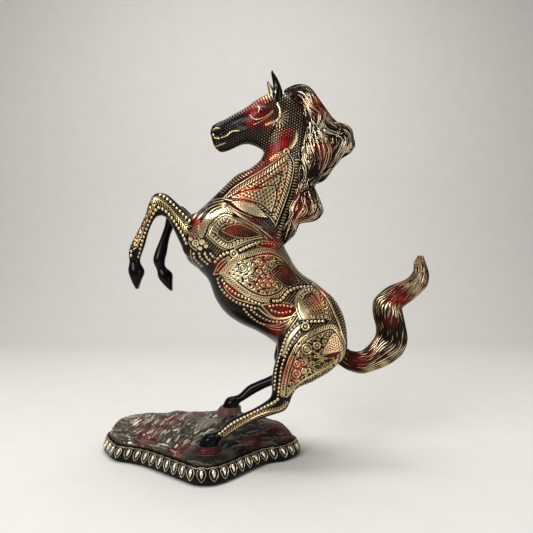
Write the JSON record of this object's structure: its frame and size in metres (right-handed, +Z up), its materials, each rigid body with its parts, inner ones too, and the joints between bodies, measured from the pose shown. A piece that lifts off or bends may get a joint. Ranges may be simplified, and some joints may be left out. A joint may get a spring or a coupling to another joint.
{
  "type": "horse statue",
  "caption": "Rearing horse statue in engraved, lacquered brass on a rocky base with a petal rim; hollow castings pinned and brazed, hind hooves studded to the base.",
  "frame": {"origin": "middle of the flat underside of the base's felt, under the middle of the base's length, in the horse's median plane", "axes": "+Z up, the horse faces -X, its left side is -Y"},
  "size_m": [0.3335, 0.143, 0.3812],
  "materials": {
    "engraved_brass": "engraved brass filled with black and red lacquer, glossy",
    "hair_brass": "chased hair strands, dark lacquer with bare brass ridges",
    "rock_brass": "chased rock with grey-black lacquer, glossy black petal rim",
    "plain_brass": "plain, as cut",
    "zinc_steel": "bright zinc plated",
    "felt": "dense wool felt"
  },
  "bodies": {
    "root": {"base_casting": "rock_brass", "base_felt": "felt", "hoof_studs": "zinc_steel", "stud_washers": "zinc_steel", "stud_nuts": "zinc_steel", "torso_left_shell": "engraved_brass", "torso_right_shell": "engraved_brass", "neck_left_shell": "engraved_brass", "neck_right_shell": "engraved_brass", "seam_pins": "plain_brass", "neck_sleeve": "plain_brass", "poll_sleeve": "plain_brass", "head_casting": "engraved_brass", "left_ear": "engraved_brass", "right_ear": "engraved_brass", "mane_upper": "hair_brass", "mane_middle": "hair_brass", "mane_lower": "hair_brass", "left_foreleg": "engraved_brass", "right_foreleg": "engraved_brass", "shoulder_pegs": "plain_brass", "left_hind_leg": "engraved_brass", "right_hind_leg": "engraved_brass", "hip_pegs": "plain_brass", "tail_casting": "hair_brass", "tail_stud": "zinc_steel", "tail_washer": "zinc_steel", "tail_nut": "zinc_steel"}
  },
  "joints": []
}
